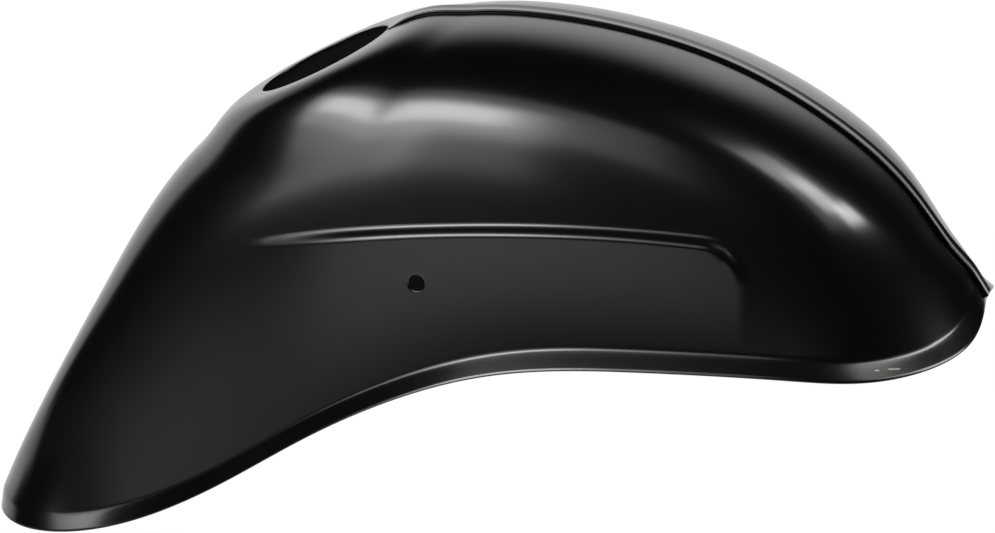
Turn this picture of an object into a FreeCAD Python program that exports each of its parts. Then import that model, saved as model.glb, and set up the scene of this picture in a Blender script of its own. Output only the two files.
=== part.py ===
# Scooter front fender: two pressed steel halves, joined along the centre line under a flat hem.
# Millimetres, +X forward, +Y to the scooter's left, +Z up.
# The origin is the middle of the steering hole, level with its rim.
import FreeCAD, Part
import math
import os
from FreeCAD import Vector

doc = FreeCAD.newDocument("ScooterFrontFender")

# Driving sizes
sizes = doc.addObject("Spreadsheet::Sheet", "Sizes")
size_rows = (
    ("gauge", 1.0, "thickness of the pressed sheet"),
    ("front_reach", 325.0, "steering hole to the root of the front lip"),
    ("rear_reach", 169.5, "steering hole to the root of the tail lip"),
    ("crown_rise", 25.9, "highest point of the crown above the steering hole"),
    ("nose_drop", 94.5, "root of the front lip below the steering hole"),
    ("side_drop", 110.1, "root of the side lip below the steering hole"),
    ("tail_drop", 230.2, "root of the tail lip below the steering hole"),
    ("half_width", 91.0, "centre plane to the root of the side lip, at the widest"),
    ("nose_lean", 33.0, "lean of the front wall from upright, degrees"),
    ("wall_lean", 4.0, "draft of the side wall, degrees"),
    ("tail_lean", 24.0, "lean of the tail wall from upright, degrees"),
    ("crown_fullness", 0.80, "how far the crown stays flat before it turns down"),
    ("wall_fullness", 0.74, "how far up the side wall stays flat"),
    ("lip_out", 6.0, "how far the lip stands out from the wall"),
    ("lip_fall", 12.0, "height of the lip"),
    ("steering_hole", 70.0, "bore for the steering column"),
    ("steering_rake", 27.0, "lean of the steering axis, degrees"),
    ("seat_radius", 37.0, "flat seat round the steering hole"),
    ("seat_blend", 44.0, "width over which that seat runs out into the crown"),
    ("bolt_hole", 8.5, "bore for the side fixing bolt"),
    ("bolt_ahead", 63.4, "side bolt ahead of the steering hole"),
    ("bolt_below", 88.2, "side bolt below the steering hole"),
    ("panel_proud", 4.2, "how far the side panel is pressed out at its top edge"),
    ("panel_step", 7.5, "width of the sloped edge round the panel"),
    ("panel_top", 52.6, "top of the panel's arched edge below the steering hole"),
    ("panel_arch", 700.0, "radius of the panel's arched top edge"),
    ("panel_crest", 155.0, "highest point of that arch ahead of the steering hole"),
    ("panel_front", 227.2, "front edge of the panel ahead of the steering hole"),
    ("panel_rear", 38.0, "where the panel runs out, behind the steering hole"),
    ("panel_runout", 82.0, "length over which the panel fades in from the rear"),
    ("panel_corner", 23.0, "corner radius between the top and front edges"),
    ("seam_height", 1.7, "height of the seam's flat hem above the crown"),
    ("seam_width", 11.0, "width of that hem on the left half"),
    ("seam_lap", 1.0, "how far the hem laps over the right half"),
    ("seam_gap", 0.3, "clearance under that lap"),
    ("seam_ramp", 12.0, "length over which the seam rises from the steering hole"),
    ("seam_short", 0.8, "how far the seam stops short of the front lip's edge"),
)
for row, (name, value, note) in enumerate(size_rows, start=1):
    sizes.set("A%d" % row, name)
    sizes.set("B%d" % row, str(value))
    sizes.set("C%d" % row, note)
    sizes.setAlias("B%d" % row, name)
doc.recompute()
size = {name: float(sizes.get(name)) for name, value, note in size_rows}
gauge = size["gauge"]

# Styling lines from tail to nose, as shares of the reaches, drops and widths above.
# Each row: crown along, crown down, lip along, lip aside, lip down,
# lip stand-out, lip height, crown flatness.
# Along is a share of the rear reach behind the steering hole and of the front reach ahead of it.
# Down is 0 at the top and 1 at the tail or the nose.
styling = (
    (-1.000, 1.000, -1.000, 0.000, 1.000, -0.50, 0.92, 1.00),
    (-0.879, 0.814, -0.900, 0.407, 1.012, -0.08, 0.92, 1.03),
    (-0.676, 0.535, -0.632, 0.549, 0.958, 0.50, 0.96, 1.10),
    (-0.403, 0.223, -0.248, 0.703, 0.692, 0.92, 1.00, 1.19),
    (-0.006, -0.003, 0.056, 0.846, 0.361, 1.00, 1.00, 1.25),
    (0.209, 0.000, 0.270, 0.956, 0.092, 1.00, 1.00, 1.27),
    (0.503, 0.057, 0.532, 1.000, 0.000, 1.00, 1.00, 1.20),
    (0.727, 0.292, 0.763, 0.978, -0.020, 1.00, 1.00, 1.06),
    (0.889, 0.628, 0.904, 0.813, -0.100, 0.92, 1.04, 1.00),
    (0.960, 0.876, 0.985, 0.495, 0.350, 0.67, 1.04, 1.00),
    (1.000, 1.000, 1.000, 0.000, 1.000, 0.00, 1.08, 1.00),
)
top_row = 5
wide_row = 6


def along(share):
    return share * (size["front_reach"] if share > 0 else size["rear_reach"])


def crown_height(row, share):
    if row < top_row:
        return -size["tail_drop"] * share
    return size["crown_rise"] - (size["crown_rise"] + size["nose_drop"]) * share


def lip_height(row, share):
    end = size["tail_drop"] if row < wide_row else size["nose_drop"]
    return -size["side_drop"] - (end - size["side_drop"]) * share


crown_points = [Vector(along(r[0]), 0, crown_height(i, r[1])) for i, r in enumerate(styling)]
lip_points = [
    Vector(along(r[2]), -size["half_width"] * r[3], lip_height(i, r[4])) for i, r in enumerate(styling)
]

# One parameter runs from tail (0) to nose (1) along both lines.
steps = [
    ((a - b).Length + (c - d).Length) / 2
    for a, b, c, d in zip(crown_points[1:], crown_points, lip_points[1:], lip_points)
]
stations = [sum(steps[:i]) / sum(steps) for i in range(len(styling))]


def lean_direction(angle, sign):
    return Vector(sign * math.sin(math.radians(angle)), 0, -math.cos(math.radians(angle)))


def curve_through(points, params, start=None, end=None):
    curve = Part.BSplineCurve()
    if start is None:
        curve.interpolate(Points=points, Parameters=params)
    else:
        curve.interpolate(
            Points=points, Parameters=params, InitialTangent=start, FinalTangent=end, Scale=False
        )
    return curve


first, last = stations[1], 1 - stations[-2]
crown_start = lean_direction(size["tail_lean"], -1) * (-(crown_points[1] - crown_points[0]).Length / first)
crown_end = lean_direction(size["nose_lean"], 1) * ((crown_points[-1] - crown_points[-2]).Length / last)
crown = curve_through(crown_points, stations, crown_start, crown_end)
blunt = 1.35
lip_start = Vector(0, blunt * lip_points[1].y / first, 0)
lip_end = Vector(0, -blunt * lip_points[-2].y / last, 0)
lip = curve_through(lip_points, stations, lip_start, lip_end)
# The lip's own sizes along the same parameter: stand-out, height, and the parameter itself.
lip_shape = [
    Vector(size["lip_out"] * r[5], size["lip_fall"] * r[6], u) for r, u in zip(styling, stations)
]
lip_size = curve_through(lip_shape, stations)
flatness = curve_through([Vector(r[7], 0, u) for r, u in zip(styling, stations)], stations)


def ease(x):
    x = min(max(x, 0.0), 1.0)
    return x * x * x * (x * (6.0 * x - 15.0) + 10.0)


def wall_frame(u):
    """Foot of the wall at u, with the directions down the wall and out from it."""
    foot, run = lip.getD1(u)
    plan = Vector(run.y, -run.x, 0).normalize()
    end_share = 0.22
    lean = size["wall_lean"]
    lean += (size["tail_lean"] - size["wall_lean"]) * (1 - ease(u / end_share))
    lean += (size["nose_lean"] - size["wall_lean"]) * ease((u - 1 + end_share) / end_share)
    slope = math.tan(math.radians(lean))
    down = Vector(plan.x * slope, plan.y * slope, -1).normalize()
    out = down.cross(run).normalize()
    if out.dot(plan) < 0:
        out = out * -1
    return foot, down, out


def dome_section(u):
    top = crown.value(u)
    foot, down, out = wall_frame(u)
    shoulder = top - Vector(0, size["crown_fullness"] * flatness.value(u).x * abs(foot.y), 0)
    wall = foot - down * (size["wall_fullness"] * abs((top - foot).dot(down)))
    return top, shoulder, wall, foot


def on_section(section, v):
    w = 1 - v
    upper = section[0] * w**3 + section[1] * (3 * v * w * w)
    lower = section[2] * (3 * v * v * w) + section[3] * v**3
    return upper + lower


axis_down = lean_direction(size["steering_rake"], 1)


def seated(p):
    """A point of the dome, moved along the steering axis onto the flat seat round the hole."""
    height = -p.dot(axis_down)
    reach = p.Length
    share = 1 - ease((reach - size["seat_radius"]) / size["seat_blend"])
    return p + axis_down * (height * share)


def arch_height(x):
    return -size["panel_top"] - (x - size["panel_crest"]) ** 2 / (2 * size["panel_arch"])


def panel_rise(p, foot):
    """How far the side panel is pressed out at a point of the plain wall above its foot."""
    arch = arch_height(p.x)
    depth = arch - p.z
    behind = size["panel_front"] - p.x
    corner = size["panel_corner"]
    inside = min(depth, behind)
    if depth < corner and behind < corner:
        inside = corner - math.hypot(corner - depth, corner - behind)
    if inside <= 0 or arch <= foot.z:
        return 0.0
    fade_down = max(0.0, (p.z - foot.z) / (arch - foot.z)) ** 2
    fade_back = ease((p.x + size["panel_rear"]) / size["panel_runout"])
    return size["panel_proud"] * ease(inside / size["panel_step"]) * fade_down * fade_back


def skin_point(u, v, panel):
    section = dome_section(u)
    p = on_section(section, v)
    if panel:
        p = p - Vector(0, panel_rise(p, section[3]), 0)
    return seated(p)


def skin_normal(u, v, panel):
    """Outward normal of the skin, kept in the centre plane along the crown."""
    foot, down, out = wall_frame(u)
    h = 1e-4
    if u < h or u > 1 - h or v >= 1:
        return out
    du = skin_point(u + h, v, panel) - skin_point(u - h, v, panel)
    dv = skin_point(u, min(v + h, 1), panel) - skin_point(u, max(v - h, 0), panel)
    normal = dv.cross(du).normalize()
    if v <= 0:
        normal = Vector(normal.x, 0, normal.z).normalize()
    return normal


# The lip's section: down the wall, out through a hollow and straight on to the cut edge.
# Pairs of stand-out and fall, as shares of the lip's own sizes.
lip_section = ((0, 0), (0, 0.12), (0, 0.24), (0.14, 0.36), (0.42, 0.57), (0.72, 0.79), (1, 1))


def lip_curve(u):
    out_by, fall_by = lip_size.value(u).x, lip_size.value(u).y
    poles = [Vector(out_by * a, fall_by * b, 0) for a, b in lip_section]
    curve = Part.BSplineCurve()
    knots = list(range(len(poles) - 2))
    mults = [4] + [1] * (len(knots) - 2) + [4]
    curve.buildFromPolesMultsKnots(poles, mults, knots, False, 3)
    return curve, knots[-1]


# Where the lip's section is broken into short flats, closest together in its hollow.
lip_flats = (0, 0.15, 0.23, 0.30, 0.37, 0.48, 1)


def lip_points_at(u, inner):
    foot, down, out = wall_frame(u)
    curve, end = lip_curve(u)
    points = []
    for share in lip_flats:
        p, run = curve.getD1(end * share)
        if inner:
            run.normalize()
            p = p + Vector(-run.y, run.x, 0) * gauge
        points.append(foot + out * p.x + down * p.y)
    return points


def surface_through(grid, us, vs):
    """Smooth surface through a grid of points, one list of points for each u."""
    rows = []
    for j in range(len(vs)):
        rows.append(curve_through([column[j] for column in grid], us))
    knots_u = rows[0].getKnots()
    mults_u = rows[0].getMultiplicities()
    columns = []
    template = None
    for i in range(rows[0].NbPoles):
        points = [row.getPole(i + 1) for row in rows]
        if max((p - points[0]).Length for p in points) < 1e-6:
            columns.append(points[0])
            continue
        template = curve_through(points, vs)
        columns.append(template.getPoles())
    net = [[c] * template.NbPoles if isinstance(c, Vector) else c for c in columns]
    surface = Part.BSplineSurface()
    surface.buildFromPolesMultsKnots(
        net, mults_u, template.getMultiplicities(), knots_u, template.getKnots(), False, False, 3, 3
    )
    return surface


def spread(start, end, count):
    return [start + (end - start) * i / count for i in range(count)]


def panel_edge(u):
    """Where the panel's arched top edge crosses the section at u, as a share of the section."""
    section = dome_section(u)
    low, high = 0.3, 0.95
    for i in range(40):
        mid = (low + high) / 2
        p = on_section(section, mid)
        if p.z > arch_height(p.x):
            low = mid
        else:
            high = mid
    return low


# Where sections are taken, tail to nose; close together across the panel's front edge
tail_us = spread(0, 0.12, 6)
side_us = spread(0.12, 0.70, 30)
front_us = spread(0.70, 0.78, 2)
fine_us = spread(0.70, 0.78, 14)
nose_us = spread(0.78, 1.0, 8) + [1.0]

# The skins are divided into patches, which keeps each face simple.
patch_breaks = (0, 0.10, 0.20, 0.30, 0.40, 0.50, 0.60, 0.70, 0.78, 0.89, 1)


def patch(surface, u_start, u_end, v_start, v_end):
    part = surface.copy()
    part.segment(u_start, u_end, v_start, v_end)
    return part


def span(curve, u_start, u_end):
    part = curve.copy()
    part.segment(u_start, u_end)
    return part.toShape()


def section_rows(edge):
    """Rows down a section, close together across the sloped edge of the panel."""
    above = [edge * i / 11 for i in range(11)]
    band = [edge + 0.006 * i for i in range(9)]
    start = edge + 0.006 * 9
    below = [start + (1 - start) * (i / 6) ** 1.3 for i in range(7)]
    return above + band + below


def pressed_half(panel):
    """Closed solid of one pressed half, on the right of the centre plane."""
    us = tail_us + side_us + (fine_us if panel else front_us) + nose_us
    plain_vs = [i / 15 for i in range(16)]
    outer, inner, lip_outer, lip_inner = [], [], [], []
    edge_low, edge_high = 0.33, 0.75
    for u in us:
        vs = section_rows(panel_edge(min(max(u, edge_low), edge_high))) if panel else plain_vs
        outer.append([skin_point(u, v, panel) for v in vs])
        inner.append([skin_point(u, v, panel) - skin_normal(u, v, panel) * gauge for v in vs])
        lip_outer.append(lip_points_at(u, False))
        lip_inner.append(lip_points_at(u, True))
    vs = section_rows(panel_edge(stations[wide_row])) if panel else plain_vs
    skins = [surface_through(outer, us, vs), surface_through(inner, us, vs)]
    bends = [curve_through([column[k] for column in lip_outer], us) for k in range(len(lip_flats))]
    bends += [curve_through([column[k] for column in lip_inner], us) for k in reversed(range(len(lip_flats)))]
    faces, seam_edges = [], []
    breaks = [vs[0], vs[5], vs[10], vs[20], vs[-1]] if panel else [vs[0], vs[5], vs[10], vs[-1]]
    for start, end in zip(patch_breaks, patch_breaks[1:]):
        for skin in skins:
            patches = [patch(skin, start, end, one, two) for one, two in zip(breaks, breaks[1:])]
            faces += [item.toShape() for item in patches]
            seam_edges.append(patches[0].vIso(0).toShape())
        lines = [span(curve, start, end) for curve in bends]
        faces += [Part.makeRuledSurface(one, two, 1) for one, two in zip(lines, lines[1:])]
    for end in (0, 1):
        ends = [curve.value(end) for curve in bends]
        seam_edges += [Part.makeLine(one, two) for one, two in zip(ends, ends[1:])]
    faces.append(Part.Face(Part.Wire(Part.__sortEdges__(seam_edges))))
    shell = Part.makeCompound(faces)
    shell.sewShape(0.005)
    solid = Part.Solid(shell.Shells[0])
    if solid.Volume < 0:
        solid.reverse()
    return solid


# Flat hemmed seam along the crown, from the steering hole to the front lip
def seam_start():
    low, high = stations[4], stations[6]
    for i in range(50):
        mid = (low + high) / 2
        if skin_point(mid, 0, False).cross(axis_down).Length < size["steering_hole"] / 2 + gauge:
            low = mid
        else:
            high = mid
    return low


seam_from = seam_start()
seam_us = [seam_from + (1 - seam_from) * (i / 40) ** 1.15 for i in range(41)]
rim_u = seam_us[0]


def seam_line(height):
    """Curve at a height above the crown line, running on along the front wall to the lip's edge."""
    points = []
    length = 0.0
    previous = skin_point(rim_u, 0, False)
    for u in seam_us:
        p = skin_point(u, 0, False)
        length += (p - previous).Length
        previous = p
        rise = height
        if height > 0:
            rise = height * (0.3 + 0.7 * ease(length / size["seam_ramp"]))
        points.append(p + skin_normal(u, 0, False) * rise)
    foot, down, out = wall_frame(1)
    fall = lip_size.value(1).y - size["seam_short"]
    for share in (0.5, 1.0):
        points.append(foot + out * height + down * (fall * share))
    params = seam_us + [1 + 0.5 * fall / 600, 1 + fall / 600]
    return curve_through(points, params)


def seam_strip(low, high, side_from, side_to):
    """Strip of sheet along the crown between two heights and two sides."""
    lower, upper = seam_line(low), seam_line(high)
    edges = [
        lower.toShape(),
        upper.toShape(),
        Part.makeLine(lower.StartPoint, upper.StartPoint),
        Part.makeLine(lower.EndPoint, upper.EndPoint),
    ]
    face = Part.Face(Part.Wire(Part.__sortEdges__(edges)))
    face.translate(Vector(0, side_from, 0))
    return face.extrude(Vector(0, side_to - side_from, 0))


root = -gauge / 2
height = size["seam_height"]
gap = size["seam_gap"]


def add_shape(name, shape):
    item = doc.addObject("Part::Feature", name)
    item.Shape = shape
    return item


def mirrored(shape):
    return shape.mirror(Vector(0, 0, 0), Vector(0, 1, 0))


right_sheet = add_shape("RightSheet", pressed_half(True))
left_sheet = add_shape("LeftSheet", mirrored(pressed_half(False)))
hem = add_shape("Hem", seam_strip(root, height, 0, size["seam_width"]))
lap = add_shape("Lap", seam_strip(gap, height, -size["seam_lap"], 0))


def joined(name, items):
    fuse = doc.addObject("Part::MultiFuse", name)
    fuse.Shapes = items
    return fuse


left_joined = joined("LeftJoined", [left_sheet, hem, lap])


# Steering hole through both halves, on the steering axis
def steering_tool(name):
    tool = doc.addObject("Part::Cylinder", name)
    tool.setExpression("Radius", "Sizes.steering_hole / 2")
    tool.setExpression("Height", "Sizes.steering_hole * 1.6")
    tool.setExpression("Placement.Base.x", "sin(Sizes.steering_rake) * Sizes.steering_hole")
    tool.setExpression("Placement.Base.z", "-cos(Sizes.steering_rake) * Sizes.steering_hole")
    tool.Placement.Rotation = FreeCAD.Rotation(Vector(0, -1, 0), size["steering_rake"])
    return tool


# Side bolt hole through the panel, square to the centre plane
bolt_tool = doc.addObject("Part::Cylinder", "BoltTool")
bolt_tool.setExpression("Radius", "Sizes.bolt_hole / 2")
bolt_tool.setExpression("Height", "Sizes.half_width")
bolt_tool.Placement.Rotation = FreeCAD.Rotation(Vector(1, 0, 0), 90)
bolt_tool.setExpression("Placement.Base.x", "Sizes.bolt_ahead")
bolt_tool.setExpression("Placement.Base.y", "-Sizes.half_width / 2")
bolt_tool.setExpression("Placement.Base.z", "-Sizes.bolt_below")


def cut(name, base, tool):
    item = doc.addObject("Part::Cut", name)
    item.Base = base
    item.Tool = tool
    return item


right_open = cut("RightOpen", right_sheet, steering_tool("SteeringToolRight"))
right_half = cut("RightHalf", right_open, bolt_tool)
left_half = cut("LeftHalf", left_joined, steering_tool("SteeringToolLeft"))
right_half.Label = "right_half"
left_half.Label = "left_half"
doc.recompute()

for item in doc.Objects:
    if "Invalid" in item.State or "Error" in item.State:
        raise RuntimeError("failed: %s %s" % (item.Name, item.State))

os.makedirs("parts", exist_ok=True)
for item in (right_half, left_half):
    shape = item.Shape
    if shape.isNull() or not shape.isValid() or len(shape.Solids) != 1:
        raise RuntimeError("bad solid: %s" % item.Label)
    print(item.Label, "volume", round(shape.Volume), "faces", len(shape.Faces), shape.BoundBox)
    shape.exportStep("parts/%s.step" % item.Label)
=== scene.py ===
import math
import bmesh
import bpy
import numpy as np
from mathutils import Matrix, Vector


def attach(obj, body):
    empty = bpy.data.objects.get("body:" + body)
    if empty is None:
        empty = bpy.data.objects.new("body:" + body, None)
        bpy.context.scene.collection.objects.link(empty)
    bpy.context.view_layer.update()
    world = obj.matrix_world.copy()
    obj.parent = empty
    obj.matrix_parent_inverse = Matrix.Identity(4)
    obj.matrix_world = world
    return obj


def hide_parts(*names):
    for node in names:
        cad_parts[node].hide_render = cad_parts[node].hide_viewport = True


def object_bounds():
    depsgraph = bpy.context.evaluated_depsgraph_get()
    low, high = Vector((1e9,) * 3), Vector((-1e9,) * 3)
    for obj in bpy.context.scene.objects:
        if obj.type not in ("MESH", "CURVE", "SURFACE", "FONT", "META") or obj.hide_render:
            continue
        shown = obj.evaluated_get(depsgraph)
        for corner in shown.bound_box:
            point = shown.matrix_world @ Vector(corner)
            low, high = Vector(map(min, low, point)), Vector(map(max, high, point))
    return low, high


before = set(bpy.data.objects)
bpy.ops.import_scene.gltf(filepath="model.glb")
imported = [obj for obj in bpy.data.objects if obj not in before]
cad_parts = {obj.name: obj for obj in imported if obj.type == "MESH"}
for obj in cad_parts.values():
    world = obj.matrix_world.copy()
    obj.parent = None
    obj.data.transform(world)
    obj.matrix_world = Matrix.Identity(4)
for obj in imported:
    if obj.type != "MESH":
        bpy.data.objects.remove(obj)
cad_low, cad_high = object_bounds()

# Sizes of the fender in millimetres and degrees, as in the part's source
gauge = 1.0
front_reach, rear_reach = 325.0, 169.5
crown_rise, nose_drop, side_drop, tail_drop = 25.9, 94.5, 110.1, 230.2
half_width = 91.0
nose_lean, wall_lean, tail_lean = 33.0, 4.0, 24.0
crown_fullness, wall_fullness = 0.80, 0.74
lip_out, lip_fall = 6.0, 12.0
hole_radius, rake = 35.0, math.radians(27.0)
seat_radius, seat_blend = 37.0, 44.0
bolt_radius, bolt_ahead, bolt_below = 4.25, 63.4, 88.2
panel_proud, panel_step, panel_top, panel_arch = 4.2, 7.5, 52.6, 700.0
panel_crest, panel_front, panel_rear, panel_runout, panel_corner = 155.0, 227.2, 38.0, 82.0, 23.0
seam_height, seam_width, seam_lap, seam_gap, seam_ramp, seam_short = 1.7, 11.0, 1.0, 0.3, 12.0, 0.8

# How the lines of the sheet run: the lip line's pull square to the centre plane at both ends, the share of
# the length over which the wall's lean turns at each end, and the share of the section that turns to the lip
end_pull, lean_turn, foot_turn = 1.35, 0.22, 0.03
# The seam's share of its height at the steering hole, the roundness of its edges, its dip along the middle
# and how deep it is sunk into the sheet
seam_start, seam_bend, seam_dip, seam_root = 0.3, 0.5, 0.30, 0.5

# Styling lines from tail to nose: crown along, crown down, lip along, lip aside, lip down,
# lip stand-out, lip height, crown flatness
styling = np.array((
    (-1.000, 1.000, -1.000, 0.000, 1.000, -0.50, 0.92, 1.00),
    (-0.879, 0.814, -0.900, 0.407, 1.012, -0.08, 0.92, 1.03),
    (-0.676, 0.535, -0.632, 0.549, 0.958, 0.50, 0.96, 1.10),
    (-0.403, 0.223, -0.248, 0.703, 0.692, 0.92, 1.00, 1.19),
    (-0.006, -0.003, 0.056, 0.846, 0.361, 1.00, 1.00, 1.25),
    (0.209, 0.000, 0.270, 0.956, 0.092, 1.00, 1.00, 1.27),
    (0.503, 0.057, 0.532, 1.000, 0.000, 1.00, 1.00, 1.20),
    (0.727, 0.292, 0.763, 0.978, -0.020, 1.00, 1.00, 1.06),
    (0.889, 0.628, 0.904, 0.813, -0.100, 0.92, 1.04, 1.00),
    (0.960, 0.876, 0.985, 0.495, 0.350, 0.67, 1.04, 1.00),
    (1.000, 1.000, 1.000, 0.000, 1.000, 0.00, 1.08, 1.00),
))
top_row, wide_row = 5, 6

# The lip's section as poles of a cubic curve, in shares of its stand-out and height
lip_poles = np.array(((0, 0), (0, 0.12), (0, 0.24), (0.14, 0.36), (0.42, 0.57), (0.72, 0.79), (1, 1)))

# Short scratches through the paint of the front lip: both ends in metres, and half the width
scratches = (
    ((0.28679, -0.08301, -0.11874), (0.28955, -0.08202, -0.11888)),
    ((0.29225, -0.08052, -0.11859), (0.29959, -0.07749, -0.11886)),
)
scratch_half_width = 0.00050


def spline(t, y, start=None, end=None):
    """Cubic spline through the rows of y at t; clamped where an end slope is given, else natural."""
    n = len(t)
    h = np.diff(t)
    a = np.zeros((n, n))
    b = np.zeros((n, y.shape[1]))
    for i in range(1, n - 1):
        a[i, i - 1:i + 2] = h[i - 1], 2 * (h[i - 1] + h[i]), h[i]
        b[i] = 6 * ((y[i + 1] - y[i]) / h[i] - (y[i] - y[i - 1]) / h[i - 1])
    a[0, 0] = a[-1, -1] = 1
    if start is not None:
        a[0, :2] = 2 * h[0], h[0]
        b[0] = 6 * ((y[1] - y[0]) / h[0] - start)
    if end is not None:
        a[-1, -2:] = h[-1], 2 * h[-1]
        b[-1] = 6 * (end - (y[-1] - y[-2]) / h[-1])
    m = np.linalg.solve(a, b)

    def value(x, slope=False):
        x = np.asarray(x, float)
        i = np.clip(np.searchsorted(t, x, side="right") - 1, 0, n - 2)
        p = (t[i + 1] - x)[..., None]
        q = (x - t[i])[..., None]
        k = h[i][..., None]
        if slope:
            bend = (m[i + 1] * q**2 - m[i] * p**2) / (2 * k)
            return bend + (y[i + 1] - y[i]) / k - (m[i + 1] - m[i]) * k / 6
        bend = (m[i] * p**3 + m[i + 1] * q**3) / (6 * k)
        return bend + (y[i] / k - m[i] * k / 6) * p + (y[i + 1] / k - m[i + 1] * k / 6) * q

    return value


def unit(v):
    return v / np.linalg.norm(v, axis=-1, keepdims=True)


def ease(x):
    """Smooth step from 0 to 1 without a break in curvature."""
    x = np.clip(x, 0.0, 1.0)
    return x * x * x * (x * (6.0 * x - 15.0) + 10.0)


def spaced(stops, counts):
    """Places from the first stop to the last, with a count of points for each stretch between stops."""
    runs = [np.linspace(a, b, n)[:-1] for a, b, n in zip(stops, stops[1:], counts)]
    return np.concatenate(runs + [stops[-1:]])


def lean_direction(degrees, sign):
    return np.array((sign * math.sin(math.radians(degrees)), 0, -math.cos(math.radians(degrees))))


# Crown line and lip line in millimetres, through the styling rows
rows = np.arange(len(styling))
reach = np.where(styling > 0, front_reach, rear_reach)
crown_z = np.where(rows < top_row, -tail_drop * styling[:, 1],
                   crown_rise - (crown_rise + nose_drop) * styling[:, 1])
lip_end_drop = np.where(rows < wide_row, tail_drop, nose_drop)
lip_z = -side_drop - (lip_end_drop - side_drop) * styling[:, 4]
crown_points = np.stack([styling[:, 0] * reach[:, 0], 0 * crown_z, crown_z], 1)
lip_points = np.stack([styling[:, 2] * reach[:, 2], -half_width * styling[:, 3], lip_z], 1)
steps = np.linalg.norm(np.diff(crown_points, axis=0), axis=1)
steps = steps + np.linalg.norm(np.diff(lip_points, axis=0), axis=1)
stations = np.concatenate([[0], np.cumsum(steps)]) / steps.sum()
first, last = stations[1], 1 - stations[-2]
tail_step = np.linalg.norm(crown_points[1] - crown_points[0])
nose_step = np.linalg.norm(crown_points[-1] - crown_points[-2])
crown = spline(stations, crown_points, lean_direction(tail_lean, -1) * (-tail_step / first),
               lean_direction(nose_lean, 1) * (nose_step / last))
lip = spline(stations, lip_points, np.array((0, end_pull * lip_points[1, 1] / first, 0)),
             np.array((0, -end_pull * lip_points[-2, 1] / last, 0)))
lip_size = spline(stations, styling[:, 5:7] * (lip_out, lip_fall))
flatness = spline(stations, styling[:, 7:8])

# Directions of the steering hole: up along its axis and forward across it
axis_up = np.array((-math.sin(rake), 0, math.cos(rake)))
axis_fore = np.array((math.cos(rake), 0, math.sin(rake)))


def wall_frame(u):
    """Foot of the wall at u, with the directions down the wall and out from it."""
    foot, run = lip(u), lip(u, slope=True)
    plan = unit(np.stack([run[..., 1], -run[..., 0], 0 * run[..., 0]], -1))
    lean = wall_lean + (tail_lean - wall_lean) * (1 - ease(u / lean_turn))
    lean = lean + (nose_lean - wall_lean) * ease((u - (1 - lean_turn)) / lean_turn)
    slope = np.tan(np.radians(lean))
    down = unit(np.stack([plan[..., 0] * slope, plan[..., 1] * slope, -np.ones_like(slope)], -1))
    out = unit(np.cross(down, run))
    out = out * np.sign((out * plan).sum(-1, keepdims=True))
    return foot, down, out


def panel_arch_z(x):
    """Height of the panel's arched top edge."""
    return -panel_top - (x - panel_crest) ** 2 / (2 * panel_arch)


def panel_rise(p, foot):
    """How far the panel stands out at the points p above the foot of the wall."""
    arch = panel_arch_z(p[..., 0])
    depth = arch - p[..., 2]
    behind = panel_front - p[..., 0]
    inside = np.minimum(depth, behind)
    corner = panel_corner - np.hypot(panel_corner - depth, panel_corner - behind)
    inside = np.where((depth < panel_corner) & (behind < panel_corner), corner, inside)
    room = arch - foot[..., 2]
    fade = np.clip((p[..., 2] - foot[..., 2]) / np.where(room > 0, room, 1), 0, None) ** 2
    fade = fade * ease((p[..., 0] + panel_rear) / panel_runout) * (room > 0)
    return panel_proud * ease(inside / panel_step) * fade


def skin(u, v, panel):
    """Outer surface: u runs from tail to nose, v from the crown to the foot of the wall."""
    u, v = np.broadcast_arrays(np.asarray(u, float), np.asarray(v, float))
    top = crown(u)
    foot, down, out = wall_frame(u)
    shoulder = top.copy()
    shoulder[..., 1] -= crown_fullness * flatness(u)[..., 0] * np.abs(foot[..., 1])
    wall = foot - down * (wall_fullness * np.abs(((top - foot) * down).sum(-1, keepdims=True)))
    w = v[..., None]
    x = 1 - w
    p = top * x**3 + shoulder * (3 * w * x * x) + wall * (3 * w * w * x) + foot * w**3
    if panel:
        p[..., 1] -= panel_rise(p, foot)
    # The sheet is flat round the steering hole
    height = p @ axis_up
    share = 1 - ease((np.linalg.norm(p, axis=-1) - seat_radius) / seat_blend)
    return p - axis_up * (height * share)[..., None]


def skin_normal(u, v, panel):
    """Outward direction of the outer surface, which turns to the lip's own at the foot of the wall."""
    u, v = np.broadcast_arrays(np.asarray(u, float), np.asarray(v, float))
    h = 2e-4
    near = np.clip(u, 2 * h, 1 - 2 * h)
    du = skin(near + h, v, panel) - skin(near - h, v, panel)
    dv = skin(near, v + h, panel) - skin(near, v - h, panel)
    n = unit(np.cross(dv, du))
    n[..., 1] = np.where(v <= 0, 0, n[..., 1])
    n = unit(n)
    share = np.clip((v - (1 - foot_turn)) / foot_turn, 0, 1)[..., None]
    return unit(n * (1 - share) + wall_frame(u)[2] * share)


def inner_skin(u, v, panel):
    return skin(u, v, panel) - skin_normal(u, v, panel) * gauge


def curve_point(poles, degree, knots, x):
    """Point at x of the curve with these poles and knots."""
    k = min(max(int(np.searchsorted(knots, x, side="right")) - 1, degree), len(poles) - 1)
    d = [poles[j + k - degree].astype(float) for j in range(degree + 1)]
    for r in range(1, degree + 1):
        for j in range(degree, r - 1, -1):
            low = knots[j + k - degree]
            share = (x - low) / (knots[j + 1 + k - r] - low)
            d[j] = d[j - 1] * (1 - share) + d[j] * share
    return d[degree]


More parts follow.
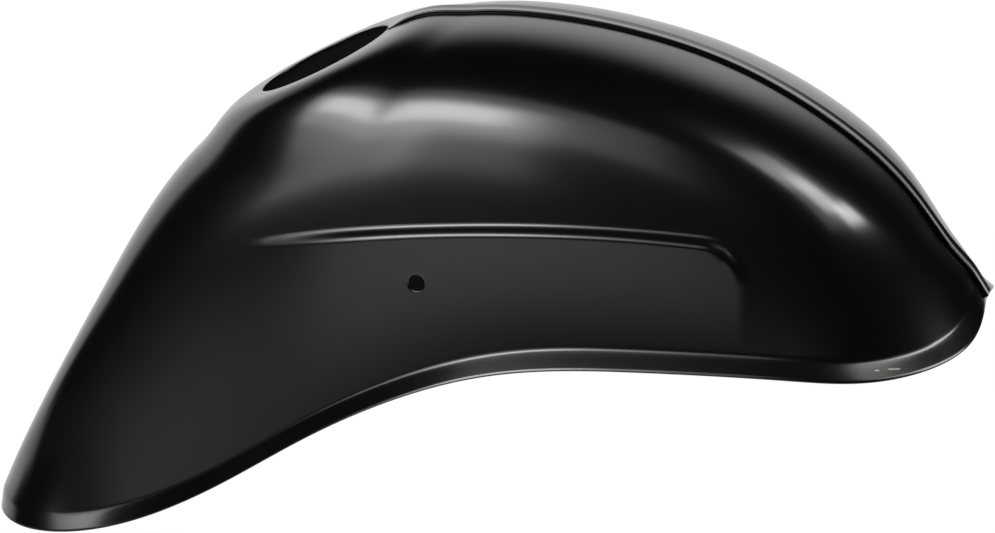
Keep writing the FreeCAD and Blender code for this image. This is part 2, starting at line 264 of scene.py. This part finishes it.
def lip_section(count):
    """Points and directions along the lip's section, evenly spread along its knots."""
    knots = np.array([0, 0, 0, 0, 1, 2, 3, 4, 4, 4, 4], float)
    slopes = 3 * np.diff(lip_poles, axis=0) / (knots[4:10] - knots[1:7])[:, None]
    xs = np.linspace(knots[0], knots[-1], count)
    return (np.array([curve_point(lip_poles, 3, knots, x) for x in xs]),
            np.array([curve_point(slopes, 2, knots[1:-1], x) for x in xs]))


def lip_rows(u, count):
    """The lip from the foot of the wall, round its cut edge and back up inside."""
    foot, down, out = wall_frame(u)
    shape, slope = lip_section(count)
    size = lip_size(u)
    p = shape[None] * size[:, None]
    run = unit(slope[None] * size[:, None])
    inner = p + np.stack([-run[..., 1], run[..., 0]], -1) * gauge
    tip = run[:, -1]
    edge_bulge = 0.42 * gauge
    edge = []
    for turn in (0.15, 0.5, 0.85):
        along = math.sin(math.pi * turn) * edge_bulge
        edge.append(p[:, -1] * (1 - turn) + inner[:, -1] * turn + tip * along)
    flat = np.concatenate([p[:, 1:], np.stack(edge, 1), inner[:, :0:-1]], 1)
    return foot[:, None] + flat[..., :1] * out[:, None] + flat[..., 1:] * down[:, None]


class Builder:
    """Collects points and faces of one mesh, in millimetres."""

    def __init__(self):
        self.points = []
        self.faces = []

    def grid(self, block, skips=(), closed=False):
        """Adds a block of points as quads, without the cells inside the skipped ranges."""
        base = sum(len(p) for p in self.points)
        n, m = block.shape[:2]
        self.points.append(block.reshape(-1, 3))
        for i in range(n - 1):
            here, there = base + i * m, base + (i + 1) * m
            for j in range(m if closed else m - 1):
                if any(a <= i < b and c <= j < d for a, b, c, d in skips):
                    continue
                k = (j + 1) % m
                self.faces.append((here + j, here + k, there + k, there + j))

    def cap(self, ring):
        base = sum(len(p) for p in self.points)
        self.points.append(ring)
        self.faces.append(tuple(range(base, base + len(ring))))

    def finish(self, name, mirror):
        """Joins the blocks into one smooth mesh in metres, with its sharp corners marked."""
        join_distance, least_edge, sharp = 4e-6, 1e-6, math.radians(50)
        points = np.concatenate(self.points) * 0.001
        if mirror:
            points[:, 1] *= -1
        mesh = bpy.data.meshes.new(name)
        mesh.from_pydata(points.tolist(), [], self.faces)
        work = bmesh.new()
        work.from_mesh(mesh)
        bmesh.ops.remove_doubles(work, verts=work.verts, dist=join_distance)
        bmesh.ops.dissolve_degenerate(work, edges=work.edges, dist=least_edge)
        bmesh.ops.recalc_face_normals(work, faces=work.faces)
        for face in work.faces:
            face.smooth = True
        for edge in work.edges:
            if len(edge.link_faces) == 2 and edge.calc_face_angle() > sharp:
                edge.smooth = False
        work.to_mesh(mesh)
        work.free()
        item = bpy.data.objects.new(name, mesh)
        bpy.context.scene.collection.objects.link(item)
        return item


def solve(surface, view, target, u, v):
    """Finds u and v where the surface, seen along a hole's axis, meets the target points."""
    h = 1e-5
    for turn in range(14):
        now = view(surface(u, v)) - target
        fu = (view(surface(u + h, v)) - view(surface(u - h, v))) / (2 * h)
        fv = (view(surface(u, v + h)) - view(surface(u, v - h))) / (2 * h)
        det = fu[:, 0] * fv[:, 1] - fu[:, 1] * fv[:, 0]
        u = np.clip(u - (now[:, 0] * fv[:, 1] - now[:, 1] * fv[:, 0]) / det, 0.001, 0.999)
        v = np.clip(v - (fu[:, 0] * now[:, 1] - fu[:, 1] * now[:, 0]) / det, -0.02, 1)
    return u, v


def steering_view(p):
    """Places of points as seen along the steering hole's axis."""
    return np.stack([p @ axis_fore, p[..., 1]], -1)


def bolt_view(p):
    """Places of points as seen along the bolt hole's axis, from its middle."""
    return p[..., [0, 2]] - (bolt_ahead, -bolt_below)


def rings(surface, us, vs, loop, view, radius):
    """Rows of points from a loop of the main grid in to the rim of a hole, and the angles round it."""
    ring_count = 12
    bu = us[[i for i, j in loop]]
    bv = vs[tuple(zip(*loop))]
    seen = view(surface(bu, bv))
    angle = np.arctan2(seen[:, 1], seen[:, 0])
    target = np.stack([np.cos(angle), np.sin(angle)], 1) * radius
    scale = radius / np.linalg.norm(seen, axis=1)
    middle_u = (bu.min() + bu.max()) / 2
    middle_v = bv.min() if bv.min() <= 0 else (bv.min() + bv.max()) / 2
    start_u = middle_u + (bu - middle_u) * scale
    start_v = middle_v + (bv - middle_v) * scale
    ru, rv = solve(surface, view, target, start_u, start_v)
    shares = np.linspace(0, 1, ring_count)[:, None]
    return surface(bu * (1 - shares) + ru * shares, bv * (1 - shares) + rv * shares), angle


def panel_rows(us):
    """Rows of the panelled half, which gather along the panel's front and top edges."""
    fine = np.linspace(0.02, 0.98, 1200)
    fine_wall, tail_skip, nose_skip = 800, 60, 20
    margin, close_reach, clear_reach, close_count = 1.2, 0.015, 0.016, 36
    highest, lowest, fallback, least_band = 0.30, 0.80, 0.9, 0.05
    probe_x = skin(us, fine[fine_wall], False)[tail_skip:-nose_skip, 0]
    ahead = np.interp(panel_front - panel_step / 2, probe_x, us[tail_skip:-nose_skip])
    close = np.linspace(ahead - close_reach, ahead + close_reach, close_count)
    us = np.sort(np.concatenate([us[np.abs(us - ahead) > clear_reach], close]))
    probe = skin(us[:, None], fine[None], False)
    depth = panel_arch_z(probe[..., 0]) - probe[..., 2]
    # Where each column meets the upper and the lower side of the edge, evened out along the fender
    width = 23
    kernel = np.hanning(width) / np.hanning(width).sum()
    bands = []
    for reach in (-margin, panel_step + margin):
        crossing = fine[np.argmax(depth > reach, 1)]
        crossing = np.where(depth[:, -1] > reach, crossing, fallback)
        crossing = np.clip(crossing, highest, lowest)
        bands.append(np.convolve(np.pad(crossing, width // 2, "edge"), kernel, "valid"))
    upper, lower = bands[0][:, None], np.maximum(bands[1], bands[0] + least_band)[:, None]
    above, across, below = (np.linspace(0, 1, count)[None] for count in (46, 23, 34))
    vs = [upper * above[:, :-1], upper + (lower - upper) * across[:, :-1], lower + (1 - lower) * below]
    return us, np.concatenate(vs, 1)


def main_grid(panel):
    """Places of the main grid, closer together at the tail, the nose and the foot of the wall."""
    us = spaced((0, 0.06, 0.94, 1), (22, 190, 24))
    if panel:
        return panel_rows(us)
    vs = spaced((0, 0.72, 1), (62, 22))
    return us, np.repeat(vs[None], len(us), 0)


def add_steering_hole(mesh, outer_surface, inner_surface, us, vs, outer):
    """The sheet round half of the steering hole; returns the cells of the main grid that it takes."""
    rim, clear_along, clear_aside, crown_span = 0.3, 1.45, 1.3, 0.2
    crest = outer[:, 0] @ axis_fore
    on_crown = np.abs(us - np.interp(0, crest, us)) < crown_span
    ia = int(np.argmax((crest > -hole_radius * clear_along) & on_crown))
    ib = int(np.argmax((crest > hole_radius * clear_along) & on_crown))
    jb = int(np.argmax(-outer[(ia + ib) // 2, :, 1] > hole_radius * clear_aside))
    loop = [(ia, j) for j in range(jb)]
    loop += [(i, jb) for i in range(ia, ib)]
    loop += [(ib, j) for j in range(jb, -1, -1)]
    top, angle = rings(outer_surface, us, vs, loop, steering_view, hole_radius + rim)
    under, angle = rings(inner_surface, us, vs, loop, steering_view, hole_radius + rim)
    spoke = np.cos(angle)[:, None] * axis_fore + np.sin(angle)[:, None] * np.array((0, 1, 0))
    edge = []
    for outward, drop in ((0.09, 0.09), (0, 0.3), (0, 0.7), (0.09, 0.91)):
        edge.append(spoke * (hole_radius + outward) - axis_up * drop * gauge)
    mesh.grid(np.concatenate([top, np.stack(edge), under[::-1]]))
    return ia, ib, 0, jb


def add_bolt_hole(mesh, outer_surface, inner_surface, us, vs, outer):
    """The sheet round the bolt hole; returns the cells of the main grid that it takes."""
    rim, cells = 0.25, 5
    away = np.hypot(outer[..., 0] - bolt_ahead, outer[..., 2] + bolt_below)
    i, j = np.unravel_index(np.argmin(away), away.shape)
    ia, ib, ja, jb = i - cells, i + cells, j - cells, j + cells
    loop = [(ia, q) for q in range(ja, jb)]
    loop += [(p, jb) for p in range(ia, ib)]
    loop += [(ib, q) for q in range(jb, ja, -1)]
    loop += [(p, ja) for p in range(ib, ia, -1)]
    top, angle = rings(outer_surface, us, vs, loop, bolt_view, bolt_radius + rim)
    under, angle = rings(inner_surface, us, vs, loop, bolt_view, bolt_radius + rim)
    edge = []
    for share in (0.12, 0.88):
        across = top[-1][:, 1] * (1 - share) + under[-1][:, 1] * share
        edge.append(np.stack([bolt_ahead + np.cos(angle) * bolt_radius, across,
                              -bolt_below + np.sin(angle) * bolt_radius], 1))
    mesh.grid(np.concatenate([top, np.stack(edge), under[::-1]]), closed=True)
    return ia, ib, ja, jb


def seam_path():
    """Points along the crown from the steering hole to the lip's edge, with normals and shares of height."""
    crown_count, crowding, lip_count = 170, 1.1, 8
    low, high = stations[4], stations[6]
    for turn in range(50):
        mid = (low + high) / 2
        if np.linalg.norm(steering_view(skin(mid, 0.0, False))) < hole_radius + gauge:
            low = mid
        else:
            high = mid
    us = low + (1 - low) * np.linspace(0, 1, crown_count) ** crowding
    points = skin(us, 0 * us, False)
    normals = skin_normal(us, 0 * us, False)
    foot, down, out = wall_frame(np.array(1.0))
    fall = lip_size(np.array(1.0))[1] - seam_short
    lip_run = [foot + down * fall * k / lip_count for k in range(1, lip_count + 1)]
    points = np.concatenate([points, lip_run])
    normals = np.concatenate([normals, [out] * lip_count])
    run = np.concatenate([[0], np.cumsum(np.linalg.norm(np.diff(points, axis=0), axis=1))])
    rise = seam_start + (1 - seam_start) * ease(run / seam_ramp)
    return points, normals, rise


def hem_profile():
    """Section of the hem: places aside of the seam and heights above the sheet."""
    chamfer, bend_count, dip_count = 0.15, 6, 15
    near, far = seam_bend - seam_lap, seam_width - seam_bend
    bend_base = seam_height - seam_bend
    profile = [(0, -seam_root), (0, seam_gap)]
    profile += [(-seam_lap + chamfer, seam_gap), (-seam_lap, seam_gap + chamfer)]
    for angle in np.linspace(math.pi, math.pi / 2, bend_count):
        profile.append((near + seam_bend * math.cos(angle), bend_base + seam_bend * math.sin(angle)))
    # The hem is pressed down along its middle and stands up a little along both edges
    for share in np.linspace(0, 1, dip_count)[1:-1]:
        profile.append((near + (far - near) * share, seam_height - seam_dip * math.sin(math.pi * share) ** 2))
    for angle in np.linspace(math.pi / 2, 0, bend_count):
        profile.append((far + seam_bend * math.cos(angle), bend_base + seam_bend * math.sin(angle)))
    profile.append((seam_width, -seam_root))
    return np.array(profile)


def add_hem(mesh):
    """The left half's flat hem, which laps over the edge of the right half along the seam."""
    profile = hem_profile()
    sections = []
    for point, normal, rise in zip(*seam_path()):
        lift = np.where(profile[:, 1] > 0, profile[:, 1] * rise, profile[:, 1])
        section = point + lift[:, None] * normal
        section[:, 1] -= profile[:, 0]
        sections.append(section)
    mesh.grid(np.array(sections), closed=True)
    mesh.cap(sections[0])
    mesh.cap(sections[-1])


def half(name, panel):
    """One pressed half as a closed mesh, built on the right of the centre plane."""
    meeting_round, lip_count = 0.22, 26

    def outer_surface(u, v):
        return skin(u, v, panel)

    def inner_surface(u, v):
        return inner_skin(u, v, panel)

    us, vs = main_grid(panel)
    mesh = Builder()
    outer = outer_surface(us[:, None], vs)
    inner = inner_surface(us[:, None], vs)
    # A hair of rounding where the two halves meet
    outer[:, 0] -= skin_normal(us, 0 * us, panel) * meeting_round
    skips = [add_steering_hole(mesh, outer_surface, inner_surface, us, vs, outer)]
    if panel:
        skips.append(add_bolt_hole(mesh, outer_surface, inner_surface, us, vs, outer))
    mesh.grid(outer, skips)
    cells = vs.shape[1] - 1
    mesh.grid(inner[:, ::-1], [(a, b, cells - d, cells - c) for a, b, c, d in skips])
    lip_block = lip_rows(us, lip_count)
    mesh.grid(np.concatenate([outer[:, -1:], lip_block, inner[:, -1:]], 1))
    # The butting edges on the centre plane, behind the steering hole and ahead of it
    behind, ahead = skips[0][:2]
    mesh.grid(np.stack([outer[:behind + 1, 0], inner[:behind + 1, 0]], 1))
    mesh.grid(np.stack([outer[ahead:, 0], inner[ahead:, 0]], 1))
    for end in (0, -1):
        mesh.cap(np.concatenate([outer[end, -1:], lip_block[end], inner[end, -1:]]))
    if not panel:
        add_hem(mesh)
    return mesh.finish(name, not panel)


def math_node(tree, operation, *values):
    """A math node; each value is a socket to link or a number."""
    node = tree.nodes.new("ShaderNodeMath")
    node.operation = operation
    for socket, value in zip(node.inputs, values):
        if isinstance(value, (int, float)):
            socket.default_value = value
        else:
            tree.links.new(value, socket)
    return node.outputs[0]


def vector_node(tree, operation, *values):
    """A vector math node; each value is a socket to link or a triple."""
    node = tree.nodes.new("ShaderNodeVectorMath")
    node.operation = operation
    for socket, value in zip(node.inputs, values):
        if isinstance(value, tuple):
            socket.default_value = value
        else:
            tree.links.new(value, socket)
    return node.outputs["Value" if operation in ("DOT_PRODUCT", "LENGTH", "DISTANCE") else "Vector"]


def step_up(tree, value, low, high, start=0.0, end=1.0):
    """A smooth step from start to end while the value runs from low to high."""
    node = tree.nodes.new("ShaderNodeMapRange")
    node.interpolation_type = "SMOOTHSTEP"
    for name, number in (("From Min", low), ("From Max", high), ("To Min", start), ("To Max", end)):
        node.inputs[name].default_value = number
    tree.links.new(value, node.inputs["Value"])
    return node.outputs["Result"]


def scratch_mark(tree, position, start, end):
    """One on a scratch between two points, which narrows towards both ends, and zero off it."""
    middle = tuple((a + b) / 2 for a, b in zip(start, end))
    along = Vector(end) - Vector(start)
    reach = along.length / 2
    from_middle = vector_node(tree, "SUBTRACT", position, middle)
    run = vector_node(tree, "DOT_PRODUCT", from_middle, tuple(along.normalized()))
    far = vector_node(tree, "LENGTH", from_middle)
    far_squared = math_node(tree, "MULTIPLY", far, far)
    run_squared = math_node(tree, "MULTIPLY", run, run)
    aside_squared = math_node(tree, "SUBTRACT", far_squared, run_squared)
    aside = math_node(tree, "SQRT", math_node(tree, "MAXIMUM", aside_squared, 0.0))
    width = step_up(tree, math_node(tree, "ABSOLUTE", run), reach * 0.5, reach, scratch_half_width, 0.0)
    return step_up(tree, math_node(tree, "SUBTRACT", width, aside), -0.0001, 0.0002)


def paint(name):
    """Satin black paint, dull on the inside, with the scratches on the lip as bare metal."""
    black_tone, metal_tone = (0.0015, 0.0015, 0.0016, 1), (0.30, 0.29, 0.27, 1)
    inside_roughness, outside_roughness = 0.45, 0.20
    inside_shine, outside_shine = 0.12, 0.75
    wheel_well = (0.08, 0.0, -0.20)
    material = bpy.data.materials.new(name)
    material.use_nodes = True
    tree = material.node_tree
    shader = tree.nodes["Principled BSDF"]
    place = tree.nodes.new("ShaderNodeNewGeometry")
    position = place.outputs["Position"]
    # Faces that look away from the wheel well are outside
    away = vector_node(tree, "SUBTRACT", position, wheel_well)
    facing = vector_node(tree, "DOT_PRODUCT", away, place.outputs["Normal"])
    outside = step_up(tree, facing, -0.004, 0.004)
    marks = [scratch_mark(tree, position, start, end) for start, end in scratches]
    tone = tree.nodes.new("ShaderNodeMix")
    tone.data_type = "RGBA"
    tone.inputs["A"].default_value = black_tone
    tone.inputs["B"].default_value = metal_tone
    tree.links.new(math_node(tree, "MAXIMUM", *marks), tone.inputs["Factor"])
    tree.links.new(tone.outputs["Result"], shader.inputs["Base Color"])
    roughness = step_up(tree, outside, 0.0, 1.0, inside_roughness, outside_roughness)
    tree.links.new(roughness, shader.inputs["Roughness"])
    shine = step_up(tree, outside, 0.0, 1.0, inside_shine, outside_shine)
    tree.links.new(shine, shader.inputs["Specular IOR Level"])
    return material


right = half("right_half_look", True)
left = half("left_half_look", False)
black = paint("black_paint")
for item, node in ((right, "right_half"), (left, "left_half")):
    item.data.materials.append(black)
    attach(item, "root")
    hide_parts(node)

scene = bpy.context.scene


def direction(azimuth, elevation):
    """Unit vector to a place seen at these angles in degrees; at azimuth 0 it is on the right side."""
    a, e = math.radians(azimuth), math.radians(elevation)
    return Vector((math.sin(a) * math.cos(e), -math.cos(a) * math.cos(e), math.sin(e)))


# Camera at the photograph's angle
camera_azimuth, camera_elevation, camera_distance = 11.0, 17.0, 2.5
picture_width, sensor_width = 0.4975, 36.0
target = Vector((0.0873, 0, -0.1033))
back = direction(camera_azimuth, camera_elevation)
camera_data = bpy.data.cameras.new("Camera")
camera_data.sensor_width = sensor_width
camera_data.lens = sensor_width * camera_distance / picture_width
camera_data.clip_start = 0.01
camera_data.clip_end = 50
camera = bpy.data.objects.new("Camera", camera_data)
camera.location = target + back * camera_distance
camera.rotation_euler = back.to_track_quat("Z", "Y").to_euler()
scene.collection.objects.link(camera)
scene.camera = camera

# Soft boxes, placed by the direction in which the fender sees them: azimuth and elevation of the middle, half
# the width and half the height in degrees, brightness of the cloth, distance. Nested boxes make soft edges.
lit_point = Vector((0.08, 0, -0.08))
lamp_colour = (1, 0.985, 0.965)
soft_boxes = (
    ("Key", -31, 29, 14, 7, 7.0, 1.50),
    ("KeySoft", -31, 27, 20, 13, 2.6, 1.52),
    ("KeyWide", -24, 34, 26, 16, 0.9, 1.54),
    ("KeyLow", -41, 9, 9, 8, 2.0, 1.56),
    ("KeyFill", -25, 9, 12, 9, 1.3, 1.58),
    ("FrontHigh", 70, 52, 12, 7, 2.8, 1.50),
    ("Front", 80, 42, 9, 8, 6.5, 1.52),
    ("FrontLow", 92, 31, 9, 5, 9.0, 1.54),
    ("FrontWide", 78, 42, 18, 16, 1.0, 1.56),
)
for name, azimuth, elevation, wide, tall, level, far in soft_boxes:
    data = bpy.data.lights.new(name, "AREA")
    data.shape = "RECTANGLE"
    data.size = 2 * far * math.tan(math.radians(wide))
    data.size_y = 2 * far * math.tan(math.radians(tall))
    data.energy = math.pi * data.size * data.size_y * level
    data.color = lamp_colour
    lamp = bpy.data.objects.new(name, data)
    away = direction(azimuth, elevation)
    lamp.location = lit_point + away * far
    lamp.rotation_euler = away.to_track_quat("Z", "Y").to_euler()
    scene.collection.objects.link(lamp)


def seen_rays(tree):
    """Two masks: one where the camera looks, one where a reflection or glass looks."""
    ray = tree.nodes.new("ShaderNodeLightPath")
    gloss = math_node(tree, "MAXIMUM", ray.outputs["Is Glossy Ray"], ray.outputs["Is Transmission Ray"])
    return ray.outputs["Is Camera Ray"], gloss


def split_axis(tree, vector, axis):
    node = tree.nodes.new("ShaderNodeSeparateXYZ")
    tree.links.new(vector, node.inputs["Vector"])
    return node.outputs[axis]


# Pale floor below the part, which keeps its shadow; away from the part it runs out to plain white, and
# reflections meet that white only behind the part
floor_below, floor_side, floor_front, floor_back = 0.30, 9, -2.6, 9
floor_tone, floor_roughness = (0.85, 0.85, 0.85, 1), 0.9
white_from, white_to = 0.35, 0.80
mirror_from, mirror_to = 0.25, 0.75
floor_z = cad_low.z - floor_below
floor_corners = [(-floor_side, floor_front, floor_z), (floor_side, floor_front, floor_z),
                 (floor_side, floor_back, floor_z), (-floor_side, floor_back, floor_z)]
floor_mesh = bpy.data.meshes.new("Floor")
floor_mesh.from_pydata(floor_corners, [], [(0, 1, 2, 3)])
floor = bpy.data.objects.new("Floor", floor_mesh)
scene.collection.objects.link(floor)
floor_material = bpy.data.materials.new("Floor")
floor_material.use_nodes = True
tree = floor_material.node_tree
shader = tree.nodes["Principled BSDF"]
shader.inputs["Base Color"].default_value = floor_tone
shader.inputs["Roughness"].default_value = floor_roughness
shader.inputs["Specular IOR Level"].default_value = 0.0
white = tree.nodes.new("ShaderNodeEmission")
position = tree.nodes.new("ShaderNodeNewGeometry").outputs["Position"]
eye, gloss = seen_rays(tree)
around = vector_node(tree, "DISTANCE", position, (lit_point.x, 0, floor_z))
direct = math_node(tree, "MULTIPLY", step_up(tree, around, white_from, white_to), eye)
behind_part = step_up(tree, split_axis(tree, position, "Y"), mirror_from, mirror_to)
mirrored = math_node(tree, "MULTIPLY", behind_part, gloss)
mixed = tree.nodes.new("ShaderNodeMixShader")
tree.links.new(math_node(tree, "MAXIMUM", direct, mirrored), mixed.inputs["Fac"])
tree.links.new(shader.outputs["BSDF"], mixed.inputs[1])
tree.links.new(white.outputs["Emission"], mixed.inputs[2])
tree.links.new(mixed.outputs["Shader"], tree.nodes["Material Output"].inputs["Surface"])
floor_mesh.materials.append(floor_material)

# White surroundings; reflections meet that white behind the part and a dim studio elsewhere
studio_level, studio_gloss_level = 0.05, 0.012
white_way, white_edge, white_full = (-0.5, 0.866, 0), 0.67, 0.81
white_top, white_below = 0.75, 0.35
world = bpy.data.worlds.new("World")
scene.world = world
world.use_nodes = True
tree = world.node_tree
background = tree.nodes["Background"]
background.inputs["Color"].default_value = (1, 1, 1, 1)
way = tree.nodes.new("ShaderNodeTexCoord").outputs["Generated"]
level_way = vector_node(tree, "NORMALIZE", vector_node(tree, "MULTIPLY", way, (1, 1, 0)))
toward = vector_node(tree, "DOT_PRODUCT", level_way, white_way)
low_part = step_up(tree, split_axis(tree, way, "Z"), white_top, white_below)
wall = math_node(tree, "MULTIPLY", step_up(tree, toward, white_edge, white_full), low_part)
eye, gloss = seen_rays(tree)
level = tree.nodes.new("ShaderNodeMix")
level.data_type = "FLOAT"
level.inputs["B"].default_value = 1.0
tree.links.new(step_up(tree, gloss, 0.0, 1.0, studio_level, studio_gloss_level), level.inputs["A"])
share = math_node(tree, "MAXIMUM", eye, math_node(tree, "MULTIPLY", wall, gloss))
tree.links.new(share, level.inputs["Factor"])
tree.links.new(level.outputs["Result"], background.inputs["Strength"])

scene.view_settings.view_transform = "Standard"
